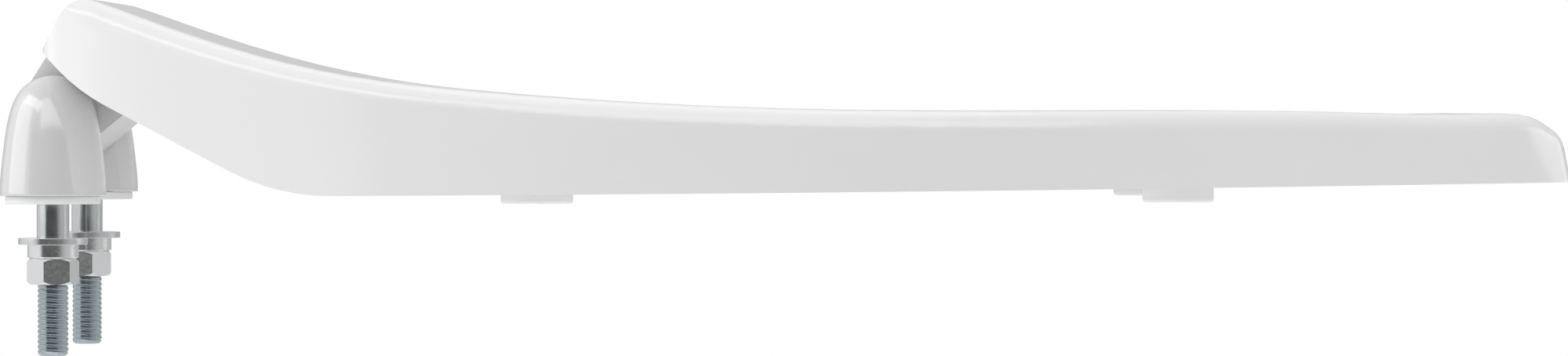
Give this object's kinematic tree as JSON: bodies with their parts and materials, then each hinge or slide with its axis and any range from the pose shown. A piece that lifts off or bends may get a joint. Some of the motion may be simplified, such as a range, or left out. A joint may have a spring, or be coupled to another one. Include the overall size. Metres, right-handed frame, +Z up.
{
  "type": "toilet seat",
  "caption": "White contoured open-front toilet seat that tilts on bell-shaped hinge posts, with rubber bumpers and steel studs, washers and nuts to clamp it to a bowl.",
  "frame": {"origin": "midway between the two stud axes, on the deck that the base rings stand on", "axes": "+X to the seat's front, +Y to its left, +Z up; the hinge axis runs along Y"},
  "size_m": [0.4925, 0.357, 0.1121],
  "materials": {
    "seat_plastic": "glossy white moulded plastic",
    "post_plastic": "glossy white moulded plastic",
    "ring_plastic": "satin white plastic",
    "bumper_plastic": "firm white rubber",
    "bush_plastic": "plain off-white plastic",
    "steel": "bright zinc-plated steel",
    "steel_rod": "ground steel"
  },
  "bodies": {
    "mounting": {"hinge_rod": "steel_rod", "hinge_post_left": "post_plastic", "base_ring_left": "ring_plastic", "thrust_washer_left": "bush_plastic", "stud_left": "steel", "washer_left": "steel", "nut_left": "steel", "hinge_post_right": "post_plastic", "base_ring_right": "ring_plastic", "thrust_washer_right": "bush_plastic", "stud_right": "steel", "washer_right": "steel", "nut_right": "steel"},
    "seat": {"seat_shell": "seat_plastic", "seat_base": "seat_plastic", "hinge_barrel": "seat_plastic", "hinge_bush_left": "bush_plastic", "hinge_bush_right": "bush_plastic", "bumper_rear_left": "bumper_plastic", "bumper_rear_right": "bumper_plastic", "bumper_front_left": "bumper_plastic", "bumper_front_right": "bumper_plastic"}
  },
  "joints": [
    {"name": "seat_tilt", "type": "hinge", "parent": "mounting", "child": "seat", "pos_m": [0, 0, 0.027], "axis": [0, -1, 0], "range_deg": [0, 101]}
  ]
}
